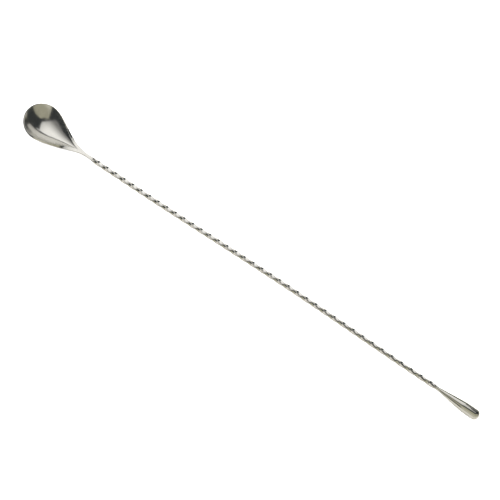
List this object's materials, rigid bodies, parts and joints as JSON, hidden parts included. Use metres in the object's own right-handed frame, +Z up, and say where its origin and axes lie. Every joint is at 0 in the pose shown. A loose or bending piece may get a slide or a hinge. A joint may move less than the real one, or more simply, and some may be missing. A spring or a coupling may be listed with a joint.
{
  "type": "bar spoon",
  "caption": "Long bar spoon of satin stainless steel: a teardrop bowl on a tapered neck, a twisted square stem and a drop-shaped weight at the other end.",
  "frame": {"origin": "on the table under the middle of the spoon as it lies at rest, with the bowl's belly and the weight both touching the table", "axes": "+X from the bowl to the weight, +Z up out of the open bowl, +Y across the spoon"},
  "size_m": [0.4, 0.0312, 0.0117],
  "materials": {
    "satin_bowl": "satin polished stainless steel with a fine grain along the bowl",
    "bright_stem": "drawn and twisted stainless steel, bright, with faint drawing lines",
    "bright_weight": "turned and polished stainless steel with faint turning lines",
    "ground_weld": "weld metal ground flush and polished with the rest"
  },
  "bodies": {
    "root": {"bowl": "satin_bowl", "neck_weld": "ground_weld", "stem": "bright_stem", "weight_weld": "ground_weld", "drop_weight": "bright_weight"}
  },
  "joints": []
}
